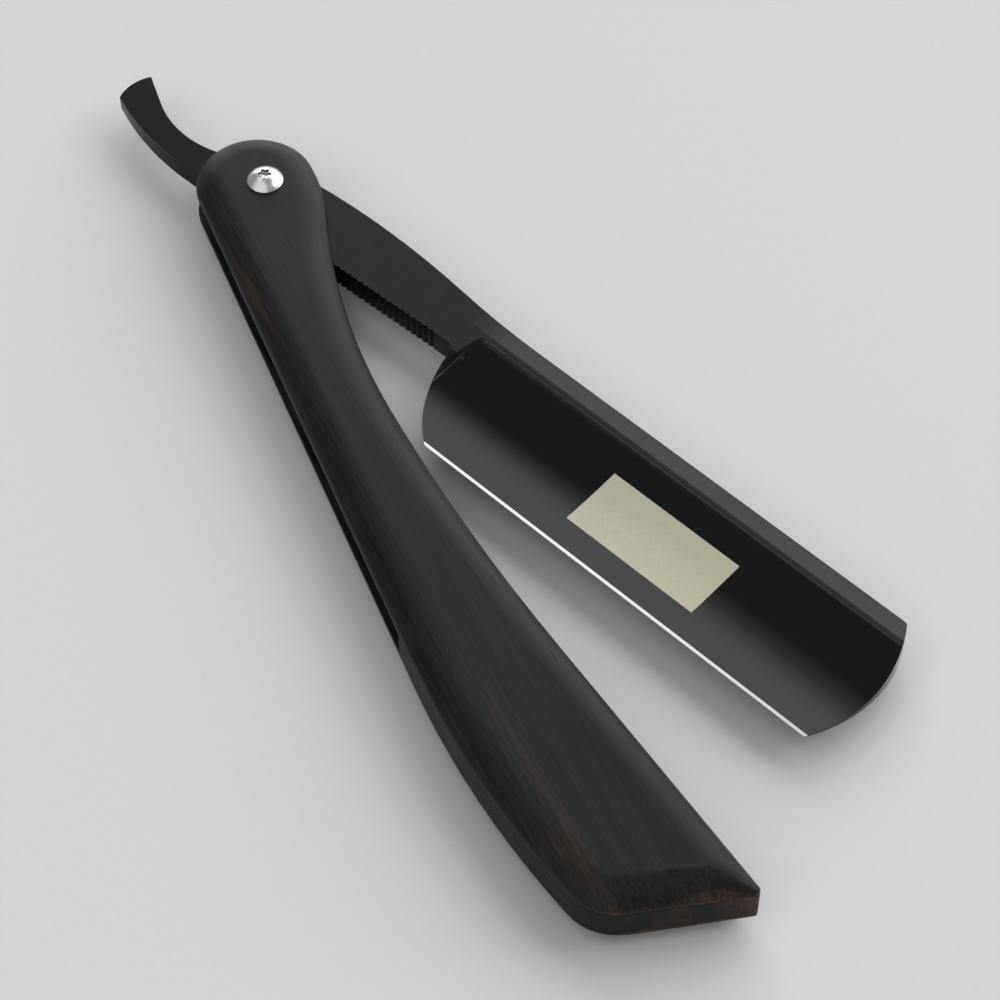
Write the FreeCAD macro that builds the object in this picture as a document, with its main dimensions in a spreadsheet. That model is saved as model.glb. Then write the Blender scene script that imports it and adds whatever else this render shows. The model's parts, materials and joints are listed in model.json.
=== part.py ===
import FreeCAD, Part
import math
import os
import Sketcher

# Straight razor, part open and lying flat. Millimetres, +Z up.
# The handle runs along +X, and the blade folds into it from the +Y side.
# The origin is on the flat underside of the lower scale, at the middle of the handle.
# Outlines are measured from the pivot: the handle's along the handle, the blade's along its spine.

SIZES = {
    # where the pivot stands, and how far the blade is open
    "pivot_x": -68.0,
    "pivot_y": 7.0,
    "open_angle": 20.6,
    # layers, from the table up: scale, gap for the blade, scale
    "scale_thick": 3.2,
    "margin_cut": 2.3,
    "margin_round": 5.5,
    "blade_thick": 3.8,
    "washer_thick": 0.2,
    "washer_play": 0.05,
    # outline of the handle; its far end is set out from the reach of the blade's toe
    "head_x": -2.3,
    "head_y": -0.75,
    "head_round": 8.9,
    "neck_x": 8.0,
    "neck_y": 6.3,
    "waist_x": 46.0,
    "waist_y": -0.35,
    "flare_back": 29.7,
    "tip_past": 14.9,
    "tip_y": 9.9,
    "butt_round": 7.6,
    "butt_past": 4.3,
    "butt_y": -12.2,
    "belly_back": 35.7,
    "belly_y": -15.4,
    # room that the wedge leaves for the closed blade
    "closed_angle": 4.5,
    "blade_room": 1.0,
    "wedge_back": 43.1,
    "wedge_foot_y": -21.6,
    "wedge_ramp": 12.0,
    "wedge_corner": 5.0,
    # outline of the blade
    "blade_width": 22.2,
    "spine_y": 6.05,
    "spine_start": 50.0,
    "blend_x": 34.0,
    "hump_x": 18.0,
    "hump_y": 7.75,
    "tang_x": 3.0,
    "tang_y": 6.9,
    "tail_root_x": -8.0,
    "tail_curl": 18.0,
    "tail_bend_x": -26.0,
    "tail_tip_x": -31.7,
    "tail_tip_y": 5.4,
    "tail_end_x": -31.9,
    "tail_end_y": -0.9,
    "tail_end_round": 6.6,
    "tail_low_x": -14.0,
    "tail_low_y": -3.9,
    "shank_low_y": -1.4,
    "shoulder_round": 1.2,
    "heel_x": 40.5,
    "heel_round": 19.6,
    "heel_rise": 16.2,
    "heel_corner": 1.0,
    "toe_reach": 121.7,
    "toe_rise": 10.35,
    "toe_round": 20.5,
    "toe_corner": 0.6,
    "toe_point": 0.8,
    # grinding of the blade
    "hollow_start": 41.6,
    "hollow_top_y": 3.45,
    "grind_round": 100.0,
    "grind_corner": 2.0,
    "grind_end_round": 1.1,
    "bevel_width": 0.5,
    "bevel_thick": 0.3,
    "edge_thick": 0.08,
    "heel_facet_y": -1.9,
    "heel_thin_y": -8.5,
    "heel_thin_thick": 1.0,
    "tail_thin_x": -12.0,
    "tail_thin_thick": 2.3,
    # jimps, the grooves under the shank
    "jimp_start_x": 12.0,
    "jimp_pitch": 1.15,
    "jimp_depth": 0.28,
    "jimp_count": 22,
    # pivot hardware
    "screw_round": 1.5,
    "screw_short": 3.1,
    "screw_head_round": 2.7,
    "screw_head_high": 1.7,
    "screw_rim": 0.35,
    "drive_core_round": 0.74,
    "drive_lobe_round": 0.28,
    "drive_round": 1.02,
    "drive_deep": 0.8,
    "sleeve_round": 2.0,
    "sleeve_head_round": 3.2,
    "sleeve_head_high": 0.9,
    "sleeve_sink": 0.1,
    "sleeve_short": 0.5,
    "sleeve_floor": 1.3,
    "thread_play": 0.02,
    "hole_play": 0.05,
    "washer_round": 4.0,
}

# How far the cutting shapes reach past the metal or wood that they cut.
OVERCUT = 3.0
FAR = 60.0

GAP = ("blade_thick", "washer_thick", "washer_thick", "washer_play", "washer_play")
HANDLE_THICK = ("scale_thick", "scale_thick") + GAP
HALF_BLADE = ("blade_thick / 2",)
EDGE_Y = ("spine_y", "-blade_width")
FLARE_X = ("toe_reach", "-flare_back")
TIP_X = ("toe_reach", "tip_past")
BUTT_X = ("toe_reach", "butt_past")
BELLY_X = ("toe_reach", "-belly_back")
WEDGE_X = ("toe_reach", "-wedge_back")

doc = FreeCAD.newDocument("straight_razor")


def build_sheet():
    """The driving dimensions, one named cell each."""
    sheet = doc.addObject("Spreadsheet::Sheet", "dims")
    for row, (name, value) in enumerate(SIZES.items(), start=1):
        sheet.set("A%d" % row, name)
        sheet.set("B%d" % row, str(value))
        sheet.setAlias("B%d" % row, name)
    doc.recompute()


def term(name):
    """Present value and expression of one term, such as "spine_y", "-blade_width" or "blade_thick / 2"."""
    sign = -1.0 if name.startswith("-") else 1.0
    alias, _, divisor = name.lstrip("-").partition(" / ")
    value = sign * SIZES[alias] / float(divisor or 1)
    text = "%s * dims.%s / %s" % ("-1" if sign < 0 else "1", alias, divisor or "1")
    return value, text


def total(*names):
    """Present value and expression of a sum of terms."""
    terms = [term(name) for name in names]
    return sum(value for value, _ in terms), " + ".join(text for _, text in terms)


def bind(obj, path, *names):
    """Tie one property of an object to a sum of sizes."""
    obj.setExpression(path, total(*names)[1])


def origin_part(body, role):
    """A plane or an axis of a body's own origin, by its role."""
    return next(feature for feature in body.Origin.OriginFeatures if feature.Role == role)


def new_body(name):
    return doc.addObject("PartDesign::Body", name)


def new_sketch(body, name, plane="XY_Plane", lift=()):
    """A sketch on a plane of the body's origin, lifted off it by a sum of sizes."""
    sketch = body.newObject("Sketcher::SketchObject", name)
    sketch.AttachmentSupport = [(origin_part(body, plane), "")]
    sketch.MapMode = "FlatFace"
    if lift:
        bind(sketch, ".AttachmentOffset.Base.z", *lift)
    return sketch


def pin(sketch, geometry, point, x=None, y=None):
    """Fix a point of a sketch by named sizes, across, up or both."""
    for kind, names in (("DistanceX", x), ("DistanceY", y)):
        if names is None:
            continue
        value, text = total(*names)
        index = sketch.addConstraint(Sketcher.Constraint(kind, -1, 1, geometry, point, value))
        sketch.setExpression("Constraints[%d]" % index, text)


def set_radius(sketch, geometry, *names):
    value, text = total(*names)
    index = sketch.addConstraint(Sketcher.Constraint("Radius", geometry, value))
    sketch.setExpression("Constraints[%d]" % index, text)


def add_circle(sketch, x, y, radius):
    """A full circle; x, y and radius are sums of sizes, and an empty sum is zero."""
    centre = FreeCAD.Vector(total(*x)[0], total(*y)[0], 0)
    circle = Part.Circle(centre, FreeCAD.Vector(0, 0, 1), total(*radius)[0])
    geometry = sketch.addGeometry(circle)
    if x or y:
        pin(sketch, geometry, 3, x or None, y or None)
        if not x:
            sketch.addConstraint(Sketcher.Constraint("PointOnObject", geometry, 3, -2))
        if not y:
            sketch.addConstraint(Sketcher.Constraint("PointOnObject", geometry, 3, -1))
    else:
        sketch.addConstraint(Sketcher.Constraint("Coincident", geometry, 3, -1, 1))
    set_radius(sketch, geometry, *radius)


class Outline:
    """A closed loop of lines and arcs, drawn from point to point in one sketch.

    Each coordinate is a tuple of size names, which fixes it, or a number, which is only a
    first guess for the sketch's own solver.
    """

    def __init__(self, sketch, x, y):
        self.sketch = sketch
        self.start = (x, y)
        self.here = self.place(x, y)
        self.steps = []

    @staticmethod
    def place(x, y):
        values = [total(*c)[0] if isinstance(c, tuple) else c for c in (x, y)]
        return FreeCAD.Vector(values[0], values[1], 0)

    def add(self, shape, x, y, ends, smooth):
        geometry = self.sketch.addGeometry(shape)
        near, far = ends
        if self.steps:
            self.join(self.steps[-1], (geometry, near), smooth)
        pin(self.sketch, geometry, far, *[c if isinstance(c, tuple) else None for c in (x, y)])
        self.steps.append((geometry, near, far))
        self.here = self.place(x, y)
        return geometry

    def join(self, before, after, smooth):
        """Let one step go on from another, with or without a corner."""
        kind = "Tangent" if smooth else "Coincident"
        self.sketch.addConstraint(Sketcher.Constraint(kind, before[0], before[2], after[0], after[1]))

    def line(self, x, y, smooth=False):
        return self.add(Part.LineSegment(self.here, self.place(x, y)), x, y, (1, 2), smooth)

    def arc(self, x, y, bulge, smooth=True, radius=None):
        """An arc that bulges to the left of the way there, or to the right where bulge is negative."""
        start, end = self.here, self.place(x, y)
        chord = end - start
        left = FreeCAD.Vector(-chord.y, chord.x, 0).normalize()
        size = (chord.Length ** 2 / 4 + bulge ** 2) / (2 * abs(bulge))
        centre = (start + end) / 2 + left * (bulge - math.copysign(size, bulge))
        first, second = (end, start) if bulge > 0 else (start, end)
        angles = [math.atan2(p.y - centre.y, p.x - centre.x) for p in (first, second)]
        if angles[1] < angles[0]:
            angles[1] += 2 * math.pi
        circle = Part.Circle(centre, FreeCAD.Vector(0, 0, 1), size)
        ends = (2, 1) if bulge > 0 else (1, 2)
        geometry = self.add(Part.ArcOfCircle(circle, *angles), x, y, ends, smooth)
        if radius:
            set_radius(self.sketch, geometry, *radius)
        return geometry

    def close(self, smooth=False):
        self.join(self.steps[-1], self.steps[0], smooth)


def polygon(sketch, *corners):
    """A closed loop of straight lines; every corner is fixed by sizes or by a number."""
    outline = Outline(sketch, *corners[-1])
    for x, y in corners:
        geometry = outline.line(x, y)
        for kind, value in (("DistanceX", x), ("DistanceY", y)):
            if not isinstance(value, tuple):
                sketch.addConstraint(Sketcher.Constraint(kind, -1, 1, geometry, 2, value))
    outline.close()


def pad(body, sketch, name, length, down=False):
    feature = body.newObject("PartDesign::Pad", name)
    feature.Profile = sketch
    feature.Reversed = down
    bind(feature, "Length", *length)
    doc.recompute()
    return feature


def cut_through(body, sketch, name):
    """Cut a sketch through the whole body, both ways from the sketch."""
    before = body.Shape.Volume
    feature = body.newObject("PartDesign::Pocket", name)
    feature.Profile = sketch
    feature.SideType = "Symmetric"
    feature.Length = 2 * FAR
    doc.recompute()
    check_cut(body, name, before)
    return feature


def cut_into(body, sketch, name, depth, up=False):
    """Cut a sketch to a depth, down from its plane or up."""
    before = body.Shape.Volume
    feature = body.newObject("PartDesign::Pocket", name)
    feature.Profile = sketch
    feature.Reversed = up
    bind(feature, "Length", *depth)
    doc.recompute()
    check_cut(body, name, before)
    return feature


def check_cut(body, name, before):
    if body.Shape.Volume > before - 1e-6:
        raise RuntimeError("%s cuts nothing" % name)


def revolve(body, sketch, name):
    feature = body.newObject("PartDesign::Revolution", name)
    feature.Profile = sketch
    feature.ReferenceAxis = (sketch, ["V_Axis"])
    feature.Angle = 360
    doc.recompute()
    return feature


def edge_names(shape, wanted):
    return ["Edge%d" % i for i, edge in enumerate(shape.Edges, start=1) if wanted(edge)]


def round_edges(body, feature, name, wanted, radius):
    """Fillet the edges of a feature that a test picks out."""
    fillet = body.newObject("PartDesign::Fillet", name)
    fillet.Base = (feature, edge_names(feature.Shape, wanted))
    bind(fillet, "Radius", *radius)
    doc.recompute()
    return fillet


def at_height(edge, level):
    box = edge.BoundBox
    return abs(box.ZMin - level) < 1e-4 and abs(box.ZMax - level) < 1e-4


def upright_at(edge, x, y):
    """True for an upright edge at one place in plan."""
    box = edge.BoundBox
    return box.ZLength > 0.1 and box.XLength < 1e-4 and math.hypot(box.XMin - x, box.YMin - y) < 1e-3


def set_on_pivot(obj, *height):
    """Stand a finished piece at the pivot, at a height given by a sum of sizes."""
    obj.Placement = FreeCAD.Placement(FreeCAD.Vector(0, 0, 0), FreeCAD.Rotation(FreeCAD.Vector(0, 0, 1), 0))
    bind(obj, ".Placement.Base.x", "pivot_x")
    bind(obj, ".Placement.Base.y", "pivot_y")
    if height:
        bind(obj, ".Placement.Base.z", *height)


def draw_handle(sketch):
    """The handle's outline, clockwise from the top of its round pivot end."""
    top = SIZES["head_y"] + SIZES["head_round"]
    corner_x = total(*BUTT_X)[0] + SIZES["butt_round"] * 0.85
    corner_y = SIZES["butt_y"] + SIZES["butt_round"] * 0.7
    outline = Outline(sketch, ("head_x",), top)
    outline.arc(("neck_x",), ("neck_y",), 0.4)
    outline.arc(("waist_x",), ("waist_y",), -1.5)
    outline.arc(FLARE_X, 3.2, -0.9)
    outline.line(TIP_X, ("tip_y",), smooth=True)
    outline.line(corner_x, corner_y)
    outline.arc(BUTT_X, ("butt_y",), 1.2, radius=("butt_round",))
    outline.arc(BELLY_X, ("belly_y",), 1.4)
    outline.line(SIZES["head_x"] - 0.5, SIZES["head_y"] - SIZES["head_round"], smooth=True)
    head = outline.arc(("head_x",), top, SIZES["head_round"], radius=("head_round",))
    pin(sketch, head, 3, ("head_x",), ("head_y",))
    outline.close(smooth=True)


def build_scale(name, is_upper):
    """One ebony scale: flat inside and at its middle outside, with a broad rounded margin."""
    body = new_body(name)
    outline = new_sketch(body, name + "_outline")
    draw_handle(outline)
    plate = pad(body, outline, name + "_plate", ("scale_thick",), down=not is_upper)
    face = SIZES["scale_thick"] if is_upper else -SIZES["scale_thick"]
    margin = body.newObject("PartDesign::Chamfer", name + "_margin")
    margin.Base = (plate, edge_names(plate.Shape, lambda e: at_height(e, face)))
    bind(margin, "Size", "margin_cut")
    doc.recompute()
    round_edges(body, margin, name + "_crown", lambda e: at_height(e, face), ("margin_round",))
    hole = new_sketch(body, name + "_hole")
    add_circle(hole, (), (), ("sleeve_round", "hole_play"))
    cut_through(body, hole, name + "_bore")
    if is_upper:
        set_on_pivot(body, "scale_thick", *GAP)
    else:
        set_on_pivot(body, "scale_thick")
    return body


def build_upper_scale():
    return build_scale("upper_scale", is_upper=True)


def build_lower_scale():
    """The lower scale also takes the sleeve nut's head in a counterbore, so that the razor lies flat."""
    body = build_scale("lower_scale", is_upper=False)
    seat = new_sketch(body, "sleeve_seat", lift=("-scale_thick",))
    add_circle(seat, (), (), ("sleeve_head_round", "hole_play"))
    cut_into(body, seat, "sleeve_counterbore", ("sleeve_head_high", "sleeve_sink"), up=True)
    return body


def build_wedge():
    """The spacer glued between the scales: it stops short of the closed blade."""
    body = new_body("wedge")
    outline = new_sketch(body, "wedge_outline")
    draw_handle(outline)
    pad(body, outline, "wedge_block", GAP)
    room = new_sketch(body, "blade_room_outline")
    bind(room, ".AttachmentOffset.Rotation.Angle", "closed_angle")
    floor_y = EDGE_Y + ("-blade_room",)
    end_x = ("toe_reach", "blade_room")
    corner_x = total(*end_x)[0] - SIZES["wedge_corner"]
    corner_y = total(*floor_y)[0] + SIZES["wedge_corner"]
    outline = Outline(room, -FAR, FAR)
    low_left = outline.line(-FAR, -FAR)
    foot = outline.line(WEDGE_X, -FAR)
    outline.line(WEDGE_X, ("wedge_foot_y",))
    outline.line(WEDGE_X + ("wedge_ramp",), floor_y)
    outline.line(corner_x, floor_y)
    outline.arc(end_x, corner_y, -0.29 * SIZES["wedge_corner"], radius=("wedge_corner",))
    wall = outline.line(end_x, FAR, smooth=True)
    lid = outline.line(-FAR, FAR)
    outline.close()
    for line in (foot, lid):
        room.addConstraint(Sketcher.Constraint("Horizontal", line))
    room.addConstraint(Sketcher.Constraint("Vertical", low_left))
    room.addConstraint(Sketcher.Constraint("DistanceX", -1, 1, low_left, 2, -FAR))
    room.addConstraint(Sketcher.Constraint("DistanceY", -1, 1, low_left, 2, -FAR))
    room.addConstraint(Sketcher.Constraint("DistanceY", -1, 1, wall, 2, FAR))
    cut_through(body, room, "blade_room_cut")
    set_on_pivot(body, "scale_thick")
    return body


def draw_blade(sketch):
    """The blade's outline, clockwise from where the straight spine starts."""
    spine, low = SIZES["spine_y"], total(*EDGE_Y)[0]
    outline = Outline(sketch, ("spine_start",), ("spine_y",))
    toe_x = SIZES["toe_reach"] - 4.5
    outline.line(toe_x, ("spine_y",))
    outline.arc(toe_x + SIZES["toe_point"], spine - SIZES["toe_point"] / 2, 0.2, radius=("toe_point",))
    toe_x += 1.5
    toe = outline.arc(toe_x, low + SIZES["toe_corner"], 5.0, radius=("toe_round",))
    pin(sketch, toe, 3, ("toe_reach", "-toe_round"), EDGE_Y + ("toe_rise",))
    outline.arc(toe_x - SIZES["toe_corner"], EDGE_Y, 0.2, radius=("toe_corner",))
    heel_x = SIZES["heel_x"] + SIZES["heel_round"]
    heel_x -= math.sqrt(SIZES["heel_round"] ** 2 - SIZES["heel_rise"] ** 2)
    corner = SIZES["heel_corner"] / 3
    outline.line(heel_x + corner, EDGE_Y, smooth=True)
    outline.arc(heel_x - corner, low + corner, corner / 6, radius=("heel_corner",))
    shank_y = SIZES["shank_low_y"]
    heel = outline.arc(SIZES["heel_x"], shank_y - SIZES["shoulder_round"], 2.5, radius=("heel_round",))
    pin(sketch, heel, 3, ("heel_x", "heel_round"), EDGE_Y + ("heel_rise",))
    shoulder_x = SIZES["heel_x"] - SIZES["shoulder_round"]
    outline.arc(shoulder_x, ("shank_low_y",), -0.35, radius=("shoulder_round",))
    outline.line(("tail_low_x",), ("tail_low_y",), smooth=True)
    outline.arc(("tail_end_x",), ("tail_end_y",), 0.7)
    outline.arc(("tail_tip_x",), ("tail_tip_y",), 0.8, smooth=False, radius=("tail_end_round",))
    outline.line(("tail_bend_x",), 2.5)
    outline.arc(("tail_root_x",), 2.6, -2.4, radius=("tail_curl",))
    outline.arc(("tang_x",), ("tang_y",), 0.5)
    hump = outline.arc(("hump_x",), ("hump_y",), 0.2)
    pin(sketch, hump, 3, ("hump_x",))
    outline.arc(("blend_x",), (SIZES["hump_y"] + spine) / 2, 0.2)
    outline.arc(("spine_start",), ("spine_y",), -0.2)
    outline.close(smooth=True)


def build_blank():
    """The blade before its hollow grind: outline, pivot hole, thinned tail, heel facet and jimps."""
    body = new_body("blade_blank")
    outline = new_sketch(body, "blade_outline", lift=("-blade_thick / 2",))
    draw_blade(outline)
    pad(body, outline, "blade_plate", ("blade_thick",))
    hole = new_sketch(body, "tang_hole")
    add_circle(hole, (), (), ("sleeve_round", "hole_play"))
    cut_through(body, hole, "tang_bore")
    thin_tail(body)
    thin_heel(body)
    cut_jimps(body)
    return body


def thin_tail(body):
    """Both faces of the tail slope in towards its end."""
    sketch = new_sketch(body, "tail_slopes", "XZ_Plane")
    end_x = ("tail_tip_x",)
    past = SIZES["tail_tip_x"] - OVERCUT
    for sign in ("", "-"):
        out = math.copysign(FAR, -1 if sign else 1)
        polygon(sketch,
                (("tail_thin_x",), (sign + "blade_thick / 2",)),
                (end_x, (sign + "tail_thin_thick / 2",)),
                (past, (sign + "tail_thin_thick / 2",)),
                (past, out),
                (("tail_thin_x",), out))
    cut_through(body, sketch, "tail_thinning")


def thin_heel(body):
    """A facet each side of the heel, ahead of the hollow, from full thickness to thin."""
    sketch = new_sketch(body, "heel_slopes", "YZ_Plane", lift=("heel_x", "-shoulder_round"))
    past = total(*EDGE_Y)[0] - OVERCUT
    for sign in ("", "-"):
        out = math.copysign(OVERCUT, -1 if sign else 1)
        polygon(sketch,
                (("heel_facet_y",), (sign + "blade_thick / 2",)),
                (("heel_thin_y",), (sign + "heel_thin_thick / 2",)),
                (past, (sign + "heel_thin_thick / 2",)),
                (past, out),
                (("heel_facet_y",), out))
    depth = ("hollow_start", "-heel_x", "shoulder_round", "grind_corner")
    cut_into(body, sketch, "heel_facets", depth, up=True)


def cut_jimps(body):
    """A row of grooves across the underside of the shank, along its sloping edge."""
    run = SIZES["heel_x"] - SIZES["shoulder_round"] - SIZES["tail_low_x"]
    slope = (SIZES["shank_low_y"] - SIZES["tail_low_y"]) / run
    sketch = new_sketch(body, "jimp_outline")
    run_text = "(dims.heel_x - dims.shoulder_round - dims.tail_low_x)"
    slope_text = "((dims.shank_low_y - dims.tail_low_y) / %s)" % run_text
    level_text = "dims.tail_low_y + (dims.jimp_start_x - dims.tail_low_x) * %s" % slope_text
    turn = math.degrees(math.atan(slope))
    spot = FreeCAD.Vector(SIZES["jimp_start_x"], 0, 0)
    sketch.AttachmentOffset = FreeCAD.Placement(spot, FreeCAD.Rotation(FreeCAD.Vector(0, 0, 1), turn))
    sketch.setExpression(".AttachmentOffset.Base.x", "dims.jimp_start_x")
    sketch.setExpression(".AttachmentOffset.Base.y", level_text)
    sketch.setExpression(".AttachmentOffset.Rotation.Angle", "atan(%s)" % slope_text)
    polygon(sketch,
            (("jimp_pitch / 2",), ("-jimp_depth",)),
            (("-jimp_pitch / 2",), ("-jimp_depth",)),
            (("jimp_depth / 99",), ("jimp_depth",)))
    groove = cut_through(body, sketch, "first_jimp")
    row = body.newObject("PartDesign::LinearPattern", "jimps")
    row.Originals = [groove]
    row.Direction = (sketch, ["H_Axis"])
    row.Mode = "Spacing"
    bind(row, "Offset", "jimp_pitch")
    bind(row, "Occurrences", "jimp_count")
    body.Tip = row
    doc.recompute()


def build_grinding_room():
    """The space that the grinding wheels take: a bowed face each side, and the bevel of the edge."""
    body = new_body("grinding_room")
    sketch = new_sketch(body, "grind_profile", "YZ_Plane", lift=("hollow_start",))
    tall = 2 * SIZES["blade_thick"]
    past = total(*EDGE_Y)[0] - OVERCUT
    lip = total(*EDGE_Y)[0] - SIZES["bevel_width"]
    bevel_y = EDGE_Y + ("bevel_width",)
    outline = Outline(sketch, ("hollow_top_y",), tall)
    start = outline.line(("hollow_top_y",), HALF_BLADE)
    outline.arc(bevel_y, ("bevel_thick / 2",), 0.45, smooth=False, radius=("grind_round",))
    outline.line(EDGE_Y, ("edge_thick / 2",))
    outline.line(lip, ("edge_thick / 2",))
    front = outline.line(lip, ("-edge_thick / 2",))
    outline.line(EDGE_Y, ("-edge_thick / 2",))
    outline.line(bevel_y, ("-bevel_thick / 2",))
    outline.arc(("hollow_top_y",), ("-blade_thick / 2",), 0.45, smooth=False, radius=("grind_round",))
    outline.line(("hollow_top_y",), -tall)
    lower = outline.line(past, -tall)
    outer = outline.line(past, tall)
    upper = outline.line(("hollow_top_y",), tall)
    outline.close()
    for line in (lower, upper):
        sketch.addConstraint(Sketcher.Constraint("Horizontal", line))
    for line in (front, outer):
        sketch.addConstraint(Sketcher.Constraint("Vertical", line))
    for line, value in ((lower, -tall), (upper, tall)):
        sketch.addConstraint(Sketcher.Constraint("DistanceY", -1, 1, line, 2, value))
    sketch.addConstraint(Sketcher.Constraint("DistanceX", -1, 1, outer, 2, past))
    sketch.addConstraint(Sketcher.Constraint("DistanceX", -1, 1, front, 2, lip))
    room = pad(body, sketch, "grind_sweep", ("toe_reach", "-hollow_start", "toe_round"))
    start_x, top_y = SIZES["hollow_start"], SIZES["hollow_top_y"]
    corners = round_edges(body, room, "grind_corners",
                          lambda e: upright_at(e, start_x, top_y), ("grind_corner",))
    round_edges(body, corners, "grind_ends", lambda e: is_grind_end(e, start_x), ("grind_end_round",))
    return body


def is_grind_end(edge, start_x):
    """True for the bowed edge where a wheel's face meets its flat side."""
    box = edge.BoundBox
    return box.XMax - start_x < 1e-4 and box.YLength > 10 and 0.1 < box.ZLength < SIZES["blade_thick"]


def build_blade():
    blank = build_blank()
    room = build_grinding_room()
    blade = doc.addObject("Part::Cut", "blade")
    blade.Base = blank
    blade.Tool = room
    set_on_pivot(blade, "scale_thick", *[name + " / 2" for name in GAP])
    bind(blade, ".Placement.Rotation.Angle", "open_angle")
    doc.recompute()
    return blade


def build_screw():
    """Button-head machine screw with a six-lobe recess."""
    body = new_body("pivot_screw")
    sketch = new_sketch(body, "screw_profile", "XZ_Plane")
    foot_y = ["-" + name for name in HANDLE_THICK] + ["screw_short"]
    outline = Outline(sketch, 0.0, tuple(foot_y))
    outline.line(("screw_round",), tuple(foot_y))
    outline.line(("screw_round",), 0.0)
    seat = outline.line(("screw_head_round",), 0.0)
    outline.line(("screw_head_round",), ("screw_rim",))
    dome = outline.arc(0.0, ("screw_head_high",), -0.6, smooth=False)
    axis = outline.line(0.0, tuple(foot_y))
    outline.close()
    sketch.addConstraint(Sketcher.Constraint("Horizontal", seat))
    sketch.addConstraint(Sketcher.Constraint("PointOnObject", seat, 2, -1))
    for geometry, point in ((dome, 2), (dome, 3), (axis, 2)):
        sketch.addConstraint(Sketcher.Constraint("PointOnObject", geometry, point, -2))
    revolve(body, sketch, "screw_turning")
    core = new_sketch(body, "drive_core", lift=("screw_head_high",))
    add_circle(core, (), (), ("drive_core_round",))
    cut_into(body, core, "drive_core_cut", ("drive_deep",))
    lobe = new_sketch(body, "drive_lobe", lift=("screw_head_high",))
    add_circle(lobe, ("drive_round", "-drive_lobe_round"), (), ("drive_lobe_round",))
    first = cut_into(body, lobe, "first_drive_lobe", ("drive_deep",))
    ring = body.newObject("PartDesign::PolarPattern", "drive_lobes")
    ring.Originals = [first]
    ring.Axis = (origin_part(body, "Z_Axis"), [""])
    ring.Angle = 360
    ring.Occurrences = 6
    body.Tip = ring
    set_on_pivot(body, *HANDLE_THICK)
    doc.recompute()
    return body


def build_sleeve():
    """Headed sleeve nut: the blade turns on its barrel, and the screw goes down into it."""
    body = new_body("sleeve_nut")
    sketch = new_sketch(body, "sleeve_profile", "XZ_Plane")
    head_top = ("sleeve_sink", "sleeve_head_high")
    barrel_top = HANDLE_THICK + ("-sleeve_short",)
    bore = ("screw_round", "thread_play")
    outline = Outline(sketch, 0.0, ("sleeve_sink",))
    outline.line(("sleeve_head_round",), ("sleeve_sink",))
    outline.line(("sleeve_head_round",), head_top)
    outline.line(("sleeve_round",), head_top)
    outline.line(("sleeve_round",), barrel_top)
    outline.line(bore, barrel_top)
    outline.line(bore, ("sleeve_floor",))
    floor = outline.line(0.0, ("sleeve_floor",))
    axis = outline.line(0.0, ("sleeve_sink",))
    outline.close()
    for line in (floor, axis):
        sketch.addConstraint(Sketcher.Constraint("PointOnObject", line, 2, -2))
    revolve(body, sketch, "sleeve_turning")
    set_on_pivot(body)
    doc.recompute()
    return body


def build_washer(name, height):
    """Thin washer between the tang and one scale."""
    body = new_body(name)
    sketch = new_sketch(body, name + "_outline")
    add_circle(sketch, (), (), ("washer_round",))
    add_circle(sketch, (), (), ("sleeve_round", "hole_play"))
    pad(body, sketch, name + "_disc", ("washer_thick",))
    set_on_pivot(body, *height)
    doc.recompute()
    return body


def build_lower_washer():
    return build_washer("lower_washer", ("scale_thick",))


def build_upper_washer():
    return build_washer("upper_washer", ("scale_thick", "-washer_thick") + GAP)


def check_document(pieces):
    """Stop if a feature failed, a sketch is loose or a piece isn't one sound solid."""
    for obj in doc.Objects:
        if {"Invalid", "Error"} & set(obj.State):
            raise RuntimeError("%s failed: %s" % (obj.Label, obj.State))
        if obj.TypeId == "Sketcher::SketchObject" and not obj.FullyConstrained:
            raise RuntimeError("%s is not fully constrained" % obj.Label)
    for piece in pieces:
        shape = piece.Shape
        if shape.isNull() or not shape.isValid() or len(shape.Solids) != 1:
            raise RuntimeError("%s is not one valid solid" % piece.Label)


def main():
    build_sheet()
    pieces = [
        build_lower_scale(),
        build_upper_scale(),
        build_wedge(),
        build_blade(),
        build_lower_washer(),
        build_upper_washer(),
        build_sleeve(),
        build_screw(),
    ]
    doc.recompute()
    check_document(pieces)
    os.makedirs("parts", exist_ok=True)
    for piece in pieces:
        piece.Shape.exportStep(os.path.join("parts", piece.Label + ".step"))
        print(piece.Label, "%.1f mm3" % piece.Shape.Volume)


main()
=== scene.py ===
import json
import math

import bmesh
import bpy
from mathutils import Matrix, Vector


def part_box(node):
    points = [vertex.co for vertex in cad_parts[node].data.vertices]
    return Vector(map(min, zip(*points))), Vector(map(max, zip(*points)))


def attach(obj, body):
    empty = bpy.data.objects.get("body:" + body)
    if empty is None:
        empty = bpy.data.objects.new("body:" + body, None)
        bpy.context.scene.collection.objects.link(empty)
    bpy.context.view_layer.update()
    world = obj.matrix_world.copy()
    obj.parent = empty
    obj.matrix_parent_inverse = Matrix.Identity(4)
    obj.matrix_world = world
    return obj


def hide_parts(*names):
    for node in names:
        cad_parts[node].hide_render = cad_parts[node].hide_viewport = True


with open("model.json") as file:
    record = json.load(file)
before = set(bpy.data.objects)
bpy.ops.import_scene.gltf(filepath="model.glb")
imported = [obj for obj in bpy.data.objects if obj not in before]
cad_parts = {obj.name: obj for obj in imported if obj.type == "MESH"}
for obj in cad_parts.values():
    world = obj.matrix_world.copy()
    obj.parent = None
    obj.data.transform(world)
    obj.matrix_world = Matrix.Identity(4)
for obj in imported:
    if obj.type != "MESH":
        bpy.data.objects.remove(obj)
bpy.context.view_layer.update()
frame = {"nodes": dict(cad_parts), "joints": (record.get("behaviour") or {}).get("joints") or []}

node_objects = frame["nodes"]
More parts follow.
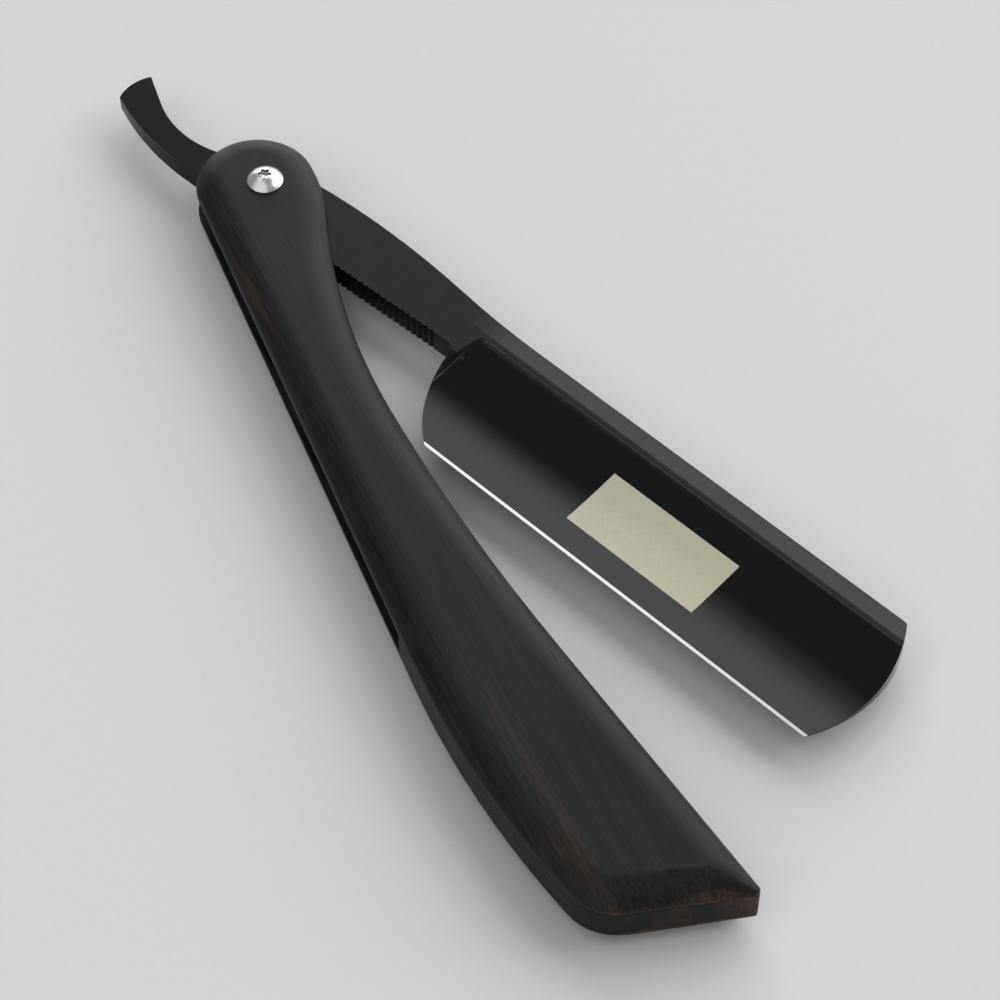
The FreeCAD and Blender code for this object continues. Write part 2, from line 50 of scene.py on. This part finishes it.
scene = bpy.context.scene
scene.view_settings.view_transform = "Standard"


# The camera stands to the right of the open razor and looks steeply down on it.
# It is well back with a long lens, so that the blade and the handle keep their true shapes.
camera_data = bpy.data.cameras.new("camera")
camera_data.lens = 108.0
camera_data.sensor_width = 36.0
camera_data.clip_start = 0.01
camera = bpy.data.objects.new("camera", camera_data)
scene.collection.objects.link(camera)
camera.location = (0.2226, -0.0935, 0.3375)
camera_aim = Vector((-0.0068, 0.0163, 0.0))
camera.rotation_euler = (camera_aim - camera.location).to_track_quat("-Z", "Y").to_euler()
scene.camera = camera


# The table is one pale matt sheet, wide enough to fill the view. The room is evenly pale, with a wide
# window low behind the razor and two smaller ones above it. The cutting bevel reflects the narrowest.
def feed(tree, socket, value):
    """Join a socket to another node's output, or set it to a fixed value."""
    if isinstance(value, bpy.types.NodeSocket):
        tree.links.new(value, socket)
    else:
        socket.default_value = value


def add_node(tree, kind, **sockets):
    """One shader node, with its named input sockets fed."""
    node = tree.nodes.new(kind)
    for name, value in sockets.items():
        feed(tree, node.inputs[name.replace("_", " ")], value)
    return node


def calculate(tree, operation, first, second=0.0, third=0.0):
    """One step of arithmetic on values or other nodes' outputs."""
    step = tree.nodes.new("ShaderNodeMath")
    step.operation = operation
    for socket, value in zip(step.inputs, (first, second, third)):
        feed(tree, socket, value)
    return step.outputs[0]


def measure(tree, operation, place, other):
    """The dot product or the distance between a place and fixed numbers."""
    step = tree.nodes.new("ShaderNodeVectorMath")
    step.operation = operation
    feed(tree, step.inputs[0], place)
    feed(tree, step.inputs[1], other)
    return step.outputs["Value"]


def new_material(name):
    """An empty material: its tree, its Principled shader and its object coordinates."""
    material = bpy.data.materials.new(name)
    material.use_nodes = True
    tree = material.node_tree
    shader = tree.nodes["Principled BSDF"]
    place = tree.nodes.new("ShaderNodeTexCoord").outputs["Object"]
    return material, tree, shader, place


table_mesh = bpy.data.meshes.new("table")
table_form = bmesh.new()
bmesh.ops.create_grid(table_form, x_segments=1, y_segments=1, size=3.0)
table_form.to_mesh(table_mesh)
table_form.free()
table = bpy.data.objects.new("table", table_mesh)
scene.collection.objects.link(table)
table_paint, tree, shader, place = new_material("pale table")
mottle = add_node(tree, "ShaderNodeTexNoise", Vector=place, Scale=900.0, Detail=2.0)
tint = add_node(tree, "ShaderNodeMapRange", Value=mottle.outputs["Fac"], To_Min=0.63, To_Max=0.66)
level = tint.outputs["Result"]
pale = add_node(tree, "ShaderNodeCombineColor", Red=level, Green=level, Blue=level)
tree.links.new(pale.outputs["Color"], shader.inputs["Base Color"])
shader.inputs["Roughness"].default_value = 0.6
table_mesh.materials.append(table_paint)

room = bpy.data.worlds.new("room")
room.use_nodes = True
room_tree = room.node_tree
every_way = room_tree.nodes.new("ShaderNodeTexCoord").outputs["Generated"]


def add_window(light, towards, outer, inner, strength):
    """Brighten the room softly round one direction; outer and inner are cosines off that direction."""
    facing = measure(room_tree, "DOT_PRODUCT", every_way, towards)
    patch = add_node(room_tree, "ShaderNodeMapRange", Value=facing, From_Min=outer, From_Max=inner,
                     To_Max=strength)
    patch.interpolation_type = "SMOOTHERSTEP"
    return calculate(room_tree, "ADD", light, patch.outputs["Result"])


room_level = 0.30
light = add_window(room_level, towards=(-0.562, 0.827, 0.0), outer=0.36, inner=0.50, strength=1.8)
light = add_window(light, towards=(-0.359, -0.250, 0.899), outer=0.96, inner=0.995, strength=0.9)
light = add_window(light, towards=(0.350, -0.650, 0.670), outer=0.70, inner=0.88, strength=0.6)
room_light = room_tree.nodes["Background"]
room_light.inputs["Color"].default_value = (1.0, 1.0, 1.0, 1.0)
room_tree.links.new(light, room_light.inputs["Strength"])
scene.world = room


def hang_lamp(name, place, aim, width, height, watts):
    """A soft rectangular lamp that faces a point."""
    data = bpy.data.lights.new(name, "AREA")
    data.shape = "RECTANGLE"
    data.size = width
    data.size_y = height
    data.energy = watts
    lamp = bpy.data.objects.new(name, data)
    lamp.location = place
    lamp.rotation_euler = (Vector(aim) - Vector(place)).to_track_quat("-Z", "Y").to_euler()
    scene.collection.objects.link(lamp)


hang_lamp("side softbox", place=(0.30, 0.62, 0.62), aim=(0.0, 0.0, 0.0), width=0.40, height=0.40, watts=1.1)


# Handling leaves soft smears on the wood and on the steel. The ebony, the blade, the screw and its
# nut take them from this one effect, each at its own size, and are a little duller where they lie.
def new_group(name, inputs, outputs):
    """An empty node group with named float, vector or colour sockets."""
    group = bpy.data.node_groups.new(name, "ShaderNodeTree")
    for in_out, sockets in (("INPUT", inputs), ("OUTPUT", outputs)):
        for socket, kind in sockets.items():
            group.interface.new_socket(name=socket, in_out=in_out, socket_type="NodeSocket" + kind)
    return group, group.nodes.new("NodeGroupInput"), group.nodes.new("NodeGroupOutput")


smears, given, result = new_group(
    "handling scuffs", {"Vector": "Vector", "Size": "Float"}, {"Smear": "Float"})
cloud = add_node(smears, "ShaderNodeTexNoise", Vector=given.outputs["Vector"], Scale=given.outputs["Size"],
                 Detail=4.0, Roughness=0.6)
smears.links.new(cloud.outputs["Fac"], result.inputs["Smear"])


def find_smears(tree, place, waves):
    """The smears, with a number of waves to each unit of the place that is given."""
    effect = add_node(tree, "ShaderNodeGroup")
    effect.node_tree = smears
    feed(tree, effect.inputs["Vector"], place)
    feed(tree, effect.inputs["Size"], waves)
    return effect.outputs["Smear"]


# The scales are two ebony boards, sawn and sanded to one outline, with broad rounded margins.
# The wood is black heartwood with brown streaks along it, short open pores and a satin oil finish.
black_wood = (0.0035, 0.0036, 0.0040, 1.0)
grey_wood = (0.0105, 0.0094, 0.0088, 1.0)
brown_wood = (0.085, 0.040, 0.022, 1.0)
open_pore = (0.004, 0.004, 0.004, 1.0)

# How many waves each part of the figure has in a metre: along the board, across it and through it.
flow_waves = (9.0, 260.0, 260.0)
fibre_waves = (60.0, 2600.0, 2600.0)
pore_waves = (330.0, 4200.0, 4200.0)
streak_waves = (7.0, 190.0, 120.0)

# Where the wood is browner. Each pair is where the brown ends and where it is full. The band's and the
# knot's are in millimetres along and across the band, and the butt's is in metres towards the butt.
band_start = (-0.068, -0.0002, 0.0)
band_turn = -0.13
band_edge = (1.7, 0.4)
band_fade = (75.0, 35.0)
band_strength = 0.75
knot_middle = (-4.4, 2.5, 10.3)
knot_edge = (1.0, 0.4)
towards_butt = (0.965, -0.262, 0.0)
butt_edge = (0.0606, 0.0624)
butt_strength = 0.9


def stretch(tree, place, scale, turn=0.0, centre=(0.0, 0.0, 0.0)):
    """Coordinates turned about a centre and scaled, so that a texture runs in lines."""
    local = add_node(tree, "ShaderNodeMapping", Vector=place)
    local.vector_type = "TEXTURE"
    local.inputs["Location"].default_value = centre
    local.inputs["Rotation"].default_value = (0.0, 0.0, turn)
    return add_node(tree, "ShaderNodeMapping", Vector=local.outputs["Vector"], Scale=scale).outputs["Vector"]


def step_mask(tree, value, low, high):
    """0 below low, 1 above high; the other way round where low is the larger."""
    return add_node(tree, "ShaderNodeMapRange", Value=value, From_Min=low, From_Max=high).outputs["Result"]


def mix(tree, factor, first, second, kind="RGBA"):
    """A mix of two colours, or of two values where kind is FLOAT."""
    node = tree.nodes.new("ShaderNodeMix")
    node.data_type = kind
    sides, out = ((6, 7), 2) if kind == "RGBA" else ((2, 3), 0)
    for index, value in zip((0, *sides), (factor, first, second)):
        feed(tree, node.inputs[index], value)
    return node.outputs[out]


def two_tone(tree, value, dark, light, low=0.0, high=1.0):
    """A colour that goes from dark to light as a value goes from low to high."""
    ramp = add_node(tree, "ShaderNodeValToRGB", Fac=value)
    for element, position, colour in zip(ramp.color_ramp.elements, (low, high), (dark, light)):
        element.position = position
        element.color = colour
    return ramp.outputs["Color"]


def scale_colour(tree, colour, factor):
    """A colour made darker or lighter."""
    node = tree.nodes.new("ShaderNodeVectorMath")
    node.operation = "SCALE"
    feed(tree, node.inputs[0], colour)
    feed(tree, node.inputs["Scale"], factor)
    return node.outputs["Vector"]


def add_grain(tree, place, waves, **settings):
    """Noise drawn out into lines, with its own number of waves to each unit of the place on each axis."""
    noise = add_node(tree, "ShaderNodeTexNoise", Vector=stretch(tree, place, waves), Scale=1.0, **settings)
    return noise.outputs["Fac"]


ebony, given, result = new_group(
    "ebony figure", {"Vector": "Vector", "Streaks": "Float", "Brown": "Float"},
    {"Color": "Color", "Sheen": "Float", "Height": "Float"})
board = given.outputs["Vector"]
flow = add_grain(ebony, board, flow_waves, Detail=6.0, Roughness=0.62, Distortion=0.35)
fibre = add_grain(ebony, board, fibre_waves, Detail=3.0, Roughness=0.55)
pore = add_grain(ebony, board, pore_waves, Detail=1.0)
streak = add_grain(ebony, board, streak_waves, Detail=5.0, Roughness=0.7, Distortion=0.6)
in_pore = step_mask(ebony, pore, 0.68, 0.80)
in_streak = step_mask(ebony, streak, 0.57, 0.74)
in_brown = step_mask(ebony, streak, 0.45, 0.62)
streaked = calculate(ebony, "MULTIPLY", in_streak, given.outputs["Streaks"])
browned = calculate(ebony, "MULTIPLY_ADD", in_brown, given.outputs["Brown"], streaked)
heartwood = two_tone(ebony, flow, black_wood, grey_wood, 0.30, 0.72)
lit_fibre = add_node(ebony, "ShaderNodeMapRange", Value=fibre, From_Min=0.35, From_Max=0.7, To_Min=0.5,
                     To_Max=1.9)
grained = scale_colour(ebony, mix(ebony, browned, heartwood, brown_wood), lit_fibre.outputs["Result"])
ebony.links.new(mix(ebony, in_pore, grained, open_pore), result.inputs["Color"])
fibre_sheen = calculate(ebony, "MULTIPLY_ADD", fibre, 0.5, 0.10)
ebony.links.new(calculate(ebony, "MULTIPLY_ADD", in_pore, 0.2, fibre_sheen), result.inputs["Sheen"])
fibre_height = calculate(ebony, "MULTIPLY", fibre, 0.35)
ebony.links.new(calculate(ebony, "SUBTRACT", fibre_height, in_pore), result.inputs["Height"])


def find_brown(tree, place):
    """Where the browner wood lies: one band along the back of the handle, a pin knot, and the butt."""
    on_band = stretch(tree, place, (1000.0, 1000.0, 1000.0), band_turn, band_start)
    row = add_node(tree, "ShaderNodeSeparateXYZ", Vector=on_band)
    fade = calculate(tree, "MULTIPLY", step_mask(tree, row.outputs["X"], *band_fade), band_strength)
    off_middle = calculate(tree, "ABSOLUTE", row.outputs["Y"])
    band = calculate(tree, "MULTIPLY", step_mask(tree, off_middle, *band_edge), fade)
    butt = step_mask(tree, measure(tree, "DOT_PRODUCT", place, towards_butt), *butt_edge)
    knot = step_mask(tree, measure(tree, "DISTANCE", on_band, knot_middle), *knot_edge)
    return calculate(tree, "MAXIMUM", calculate(tree, "MULTIPLY_ADD", butt, butt_strength, band), knot)


def make_ebony(name, streaks, polish, centre, turn=0.0):
    """Ebony cut from its own place in the board."""
    material, tree, shader, place = new_material(name)
    figure = tree.nodes.new("ShaderNodeGroup")
    figure.node_tree = ebony
    feed(tree, figure.inputs["Vector"], stretch(tree, place, (1.0, 1.0, 1.0), turn, centre))
    feed(tree, figure.inputs["Streaks"], streaks)
    feed(tree, figure.inputs["Brown"], find_brown(tree, place))
    tree.links.new(figure.outputs["Color"], shader.inputs["Base Color"])
    smear = find_smears(tree, place, waves=120.0)
    dullness = calculate(tree, "MULTIPLY_ADD", smear, 0.16, figure.outputs["Sheen"])
    tree.links.new(dullness, shader.inputs["Roughness"])
    relief = add_node(tree, "ShaderNodeBump", Strength=0.5, Distance=0.00004, Height=figure.outputs["Height"])
    tree.links.new(relief.outputs["Normal"], shader.inputs["Normal"])
    shader.inputs["Specular IOR Level"].default_value = polish
    return material


def soften(node, body, slot, material, *passes, crisp=None):
    """The same piece with its edges broken: each pass is a test of an edge, a width and a count of facets.

    The faces shade smoothly into each other, except over the edges that a crisp test names.
    """
    form = bmesh.new()
    form.from_mesh(node_objects[node].data)
    bmesh.ops.remove_doubles(form, verts=form.verts[:], dist=1e-6)
    bmesh.ops.dissolve_limit(form, angle_limit=math.radians(0.4), verts=form.verts[:], edges=form.edges[:])
    for chosen, width, facets in passes:
        edges = [edge for edge in form.edges if edge.calc_face_angle_signed(0.0) > 0.4 and chosen(edge)]
        bmesh.ops.bevel(form, geom=edges, offset=width, offset_type="OFFSET", segments=facets, profile=0.5,
                        affect="EDGES", clamp_overlap=True, material=-1)
    for face in form.faces:
        face.smooth = True
    for edge in form.edges:
        edge.smooth = not crisp(edge) if crisp else edge.calc_face_angle(0.0) < 0.7
    mesh = bpy.data.meshes.new(node + "_softened")
    form.to_mesh(mesh)
    form.free()
    mesh.materials.append(material)
    piece = bpy.data.objects.new(node + "_softened", mesh)
    scene.collection.objects.link(piece)
    if not crisp:
        shading = piece.modifiers.new("even shading", "WEIGHTED_NORMAL")
        shading.keep_sharp = True
    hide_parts(node)
    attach(piece, body)
    return piece


tip = Vector((0.0686, 0.0169))
tip_reach = 0.009
margin_depth = 0.0023
round_tip = 0.0011
round_crease = 0.0007
break_inside = 0.00012


def at_tip(edge):
    """The upright and sloping edges that meet at the sharp tip of the butt."""
    ends = [vertex.co for vertex in edge.verts]
    rise = abs(ends[0].z - ends[1].z)
    return rise > 0.05 * edge.calc_length() and max((end.xy - tip).length for end in ends) < tip_reach


def on_level(level):
    """A test for the edges at one height."""
    return lambda edge: all(abs(vertex.co.z - level) < 2e-5 for vertex in edge.verts)


upper_ebony = make_ebony("upper ebony", streaks=0.25, polish=0.2, centre=(0.010, 0.004, 0.002))
upper_inside, upper_face = (corner.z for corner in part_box("upper_scale"))
soften("upper_scale", "handle", "scale_wood", upper_ebony, (at_tip, round_tip, 4),
       (on_level(upper_face - margin_depth), round_crease, 4), (on_level(upper_inside), break_inside, 2))

lower_ebony = make_ebony("lower ebony", streaks=0.4, polish=0.2, centre=(0.310, 0.050, 0.040))
lower_face, lower_inside = (corner.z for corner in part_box("lower_scale"))
soften("lower_scale", "handle", "scale_wood", lower_ebony, (at_tip, round_tip, 4),
       (on_level(lower_face + margin_depth), round_crease, 4), (on_level(lower_inside), break_inside, 2))


# The wedge is a block of the same ebony, cut from its own place in the board, with less shine than
# the scales. It is glued between them, with no pins, and sanded flush with them all round.
wedge_ebony = make_ebony("wedge ebony", streaks=0.5, polish=0.12, centre=(0.150, 0.020, 0.090), turn=0.08)
soften("wedge", "handle", "wedge_wood", wedge_ebony, (at_tip, round_tip, 4))


# The blade is one steel forging, blackened all over. Its tang, tail and spine are left satin from
# the belt, the hollow is polished like a mirror, and the cutting bevel is ground back to bare steel.
pivot = Vector(frame["joints"][0]["pos_m"])
open_turn = math.radians(20.6)
dark_satin = (0.013, 0.013, 0.0145, 1.0)
light_satin = (0.022, 0.022, 0.0235, 1.0)
mirror_black = (0.033, 0.033, 0.0345, 1.0)
bare_steel = (0.94, 0.94, 0.93, 1.0)
dark_etch = (0.375, 0.36, 0.28, 1.0)
light_etch = (0.47, 0.45, 0.355, 1.0)

# Lines on the blade, each with its small blur, in millimetres from the pivot: X along the spine, Y
# across the blade and Z off its middle.
shoulder_line_x = (41.3, 41.4)
strip_line_y = (3.46, 3.50)
ground_below_z = (1.89, 1.86)
bevel_line_y = (-15.72, -15.75)
strip_fade_x = (38.0, 48.0)
tail_fade_x = (-14.0, -4.0)
mark_middle = (83.7, -6.8)
mark_half = (11.5, 4.9)
brush_waves = (14.0, 0.35, 0.35)

blade_steel, tree, shader, place = new_material("blackened blade steel")
on_blade = stretch(tree, place, (1000.0, 1000.0, 1000.0), open_turn, tuple(pivot))
axes = add_node(tree, "ShaderNodeSeparateXYZ", Vector=on_blade)
along, across, above = axes.outputs["X"], axes.outputs["Y"], axes.outputs["Z"]
past_shoulder = step_mask(tree, along, *shoulder_line_x)
under_strip = step_mask(tree, across, *reversed(strip_line_y))
ground_away = step_mask(tree, calculate(tree, "ABSOLUTE", above), *ground_below_z)
hollow = calculate(tree, "MULTIPLY", calculate(tree, "MULTIPLY", past_shoulder, under_strip), ground_away)
bevel = step_mask(tree, across, *bevel_line_y)
past_fade = step_mask(tree, along, *strip_fade_x)
strip = calculate(tree, "MULTIPLY", past_fade, step_mask(tree, across, *strip_line_y))
mark_along = calculate(tree, "COMPARE", along, mark_middle[0], mark_half[0])
mark_across = calculate(tree, "COMPARE", across, mark_middle[1], mark_half[1])
on_top = step_mask(tree, above, 0.0, 0.01)
mark = calculate(tree, "MULTIPLY", calculate(tree, "MULTIPLY", mark_along, mark_across), on_top)

brush = add_grain(tree, on_blade, brush_waves, Detail=3.0, Roughness=0.6)
tail_start, tail_full = tail_fade_x
tail_dark = add_node(tree, "ShaderNodeMapRange", Value=along, From_Min=tail_start, From_Max=tail_full,
                     To_Min=0.45, To_Max=1.0)
satin_light = calculate(tree, "MULTIPLY_ADD", strip, 1.5, tail_dark.outputs["Result"])
satin = scale_colour(tree, two_tone(tree, brush, dark_satin, light_satin, 0.25, 0.75), satin_light)
etch = add_node(tree, "ShaderNodeTexNoise", Vector=on_blade, Scale=7.0, Detail=3.0)
etched = two_tone(tree, etch.outputs["Fac"], dark_etch, light_etch, 0.3, 0.7)
skin = mix(tree, bevel, mix(tree, hollow, satin, mirror_black), bare_steel)
tree.links.new(mix(tree, mark, skin, etched), shader.inputs["Base Color"])

satin_dull = calculate(tree, "MULTIPLY_ADD", brush, 0.16, 0.26)
mirror_dull = calculate(tree, "MULTIPLY_ADD", find_smears(tree, on_blade, waves=0.09), 0.04, 0.02)
bevel_dull = 0.16
mark_dull = 0.5
dullness = mix(tree, hollow, satin_dull, mirror_dull, "FLOAT")
dullness = mix(tree, bevel, dullness, bevel_dull, "FLOAT")
tree.links.new(mix(tree, mark, dullness, mark_dull, "FLOAT"), shader.inputs["Roughness"])
shader.inputs["Metallic"].default_value = 1.0
brush_height = calculate(tree, "MULTIPLY", brush, calculate(tree, "SUBTRACT", 1.0, hollow))
relief = add_node(tree, "ShaderNodeBump", Strength=0.12, Distance=0.00002, Height=brush_height)
tree.links.new(relief.outputs["Normal"], shader.inputs["Normal"])

# The broken edges, and the hollow's wheel and its two ends, in metres: how far across the blade from
# the pivot, and how high off the blade's middle.
break_edge = 0.00007
clear_across = -0.0148
hollow_top = Vector((0.00345, 0.0019))
hollow_foot = Vector((-0.01565, 0.00015))
wheel_radius = 0.1


def clear_of_bevel(edge):
    """True for the blade's edges apart from those of its cutting bevel."""
    middle = (edge.verts[0].co + edge.verts[1].co) / 2 - pivot
    return middle.y * math.cos(open_turn) - middle.x * math.sin(open_turn) > clear_across


def on_hard_line(edge):
    """True on the broken edges, where a ground face meets the flat side, and along the cutting bevel."""
    turn = edge.calc_face_angle(0.0)
    flat = any(abs(face.normal.z) > 0.99999 and face.calc_area() > 5e-6 for face in edge.link_faces)
    return turn > 0.35 or turn > 0.09 and (flat or edge.calc_length() > 0.004)


def true_grind(mesh, top, foot, wheel):
    """Shade the hollow by the grinding wheel's own round, not by its facets."""
    chord = foot - top
    away = math.sqrt(wheel ** 2 - chord.length_squared / 4)
    axis = (top + foot) / 2 + chord.orthogonal().normalized() * away
    across_blade = Vector((-math.sin(open_turn), math.cos(open_turn), 0.0))
    normals = [corner.vector.copy() for corner in mesh.corner_normals]
    for face in mesh.polygons:
        side = 1.0 if face.normal.z > 0.0 else -1.0
        for index in face.loop_indices:
            spot = mesh.vertices[mesh.loops[index].vertex_index].co - pivot
            radial = axis - Vector((spot.dot(across_blade), side * spot.z))
            true_normal = (across_blade * radial.x + Vector((0.0, 0.0, side * radial.y))).normalized()
            if abs(radial.length - wheel) < 5e-5 and true_normal.dot(face.normal) > 0.998:
                normals[index] = true_normal
    mesh.normals_split_custom_set(normals)


ground_blade = soften("blade", "blade", "blade_steel", blade_steel, (clear_of_bevel, break_edge, 2),
                      crisp=on_hard_line)
true_grind(ground_blade.data, hollow_top, hollow_foot, wheel_radius)


# The washers are thin rings stamped from rolled brass sheet. One lies on each side of the tang and
# keeps it off the wood, so that the blade turns evenly.
rolled_waves = (300.0, 6000.0, 6000.0)
dark_brass = (0.55, 0.40, 0.17, 1.0)
light_brass = (0.78, 0.62, 0.32, 1.0)


def dress(node, material):
    """Give a CAD piece its finish."""
    mesh = node_objects[node].data
    mesh.materials.clear()
    mesh.materials.append(material)


brass, tree, shader, place = new_material("rolled brass")
rolled = add_grain(tree, place, rolled_waves)
tree.links.new(two_tone(tree, rolled, dark_brass, light_brass), shader.inputs["Base Color"])
tree.links.new(calculate(tree, "MULTIPLY_ADD", rolled, 0.2, 0.2), shader.inputs["Roughness"])
shader.inputs["Metallic"].default_value = 1.0
dress("upper_washer", brass)
dress("lower_washer", brass)


# The pivot is a domed six-lobe screw in a sleeve nut, both turned from stainless steel. The screw's
# dome is polished, its drive recess has painted shade near the mouth, and the tang turns on the sleeve.
dark_stainless = (0.66, 0.66, 0.67, 1.0)
light_stainless = (0.78, 0.78, 0.78, 1.0)
# A dark colour painted into the drive recess as painted shade.
painted_recess_shade = (0.10, 0.10, 0.10, 1.0)

# The part of the recess given painted shade, in millimetres off the pivot's axis and along it.
recess_round = (1.10, 1.08)
recess_mouth = (6.85, 6.80)
recess_low = (6.42, 6.46)


def make_stainless(name, low, high):
    """Turned stainless steel with fine rings round the pivot's axis, dullness from low to high, and painted
    shade in the drive recess.
    """
    material, tree, shader, place = new_material(name)
    local = stretch(tree, place, (1000.0, 1000.0, 1000.0), centre=tuple(pivot))
    rings = add_node(tree, "ShaderNodeTexWave", Vector=local, Scale=3.2, Distortion=0.4)
    rings.wave_type = "RINGS"
    rings.rings_direction = "Z"
    smear = find_smears(tree, local, waves=1.4)
    dull_smear = add_node(tree, "ShaderNodeMapRange", Value=smear, To_Min=low, To_Max=high).outputs["Result"]
    dullness = calculate(tree, "MULTIPLY_ADD", rings.outputs["Fac"], 0.05, dull_smear)
    tree.links.new(dullness, shader.inputs["Roughness"])
    spot = add_node(tree, "ShaderNodeSeparateXYZ", Vector=local)
    x, y, height = spot.outputs["X"], spot.outputs["Y"], spot.outputs["Z"]
    squared = calculate(tree, "MULTIPLY_ADD", x, x, calculate(tree, "MULTIPLY", y, y))
    off_axis = calculate(tree, "SQRT", squared)
    # Painted shade: the drive recess is coloured dark just under its mouth, where shade falls.
    painted_shade_mask = step_mask(tree, off_axis, *recess_round)
    for line in (recess_mouth, recess_low):
        painted_shade_mask = calculate(tree, "MULTIPLY", painted_shade_mask, step_mask(tree, height, *line))
    steel = mix(tree, smear, dark_stainless, light_stainless)
    tree.links.new(mix(tree, painted_shade_mask, steel, painted_recess_shade), shader.inputs["Base Color"])
    shader.inputs["Metallic"].default_value = 1.0
    relief = add_node(tree, "ShaderNodeBump", Strength=0.05, Distance=0.00001, Height=rings.outputs["Fac"])
    tree.links.new(relief.outputs["Normal"], shader.inputs["Normal"])
    return material


dress("pivot_screw", make_stainless("polished stainless", low=0.20, high=0.30))
dress("sleeve_nut", make_stainless("turned stainless", low=0.16, high=0.32))
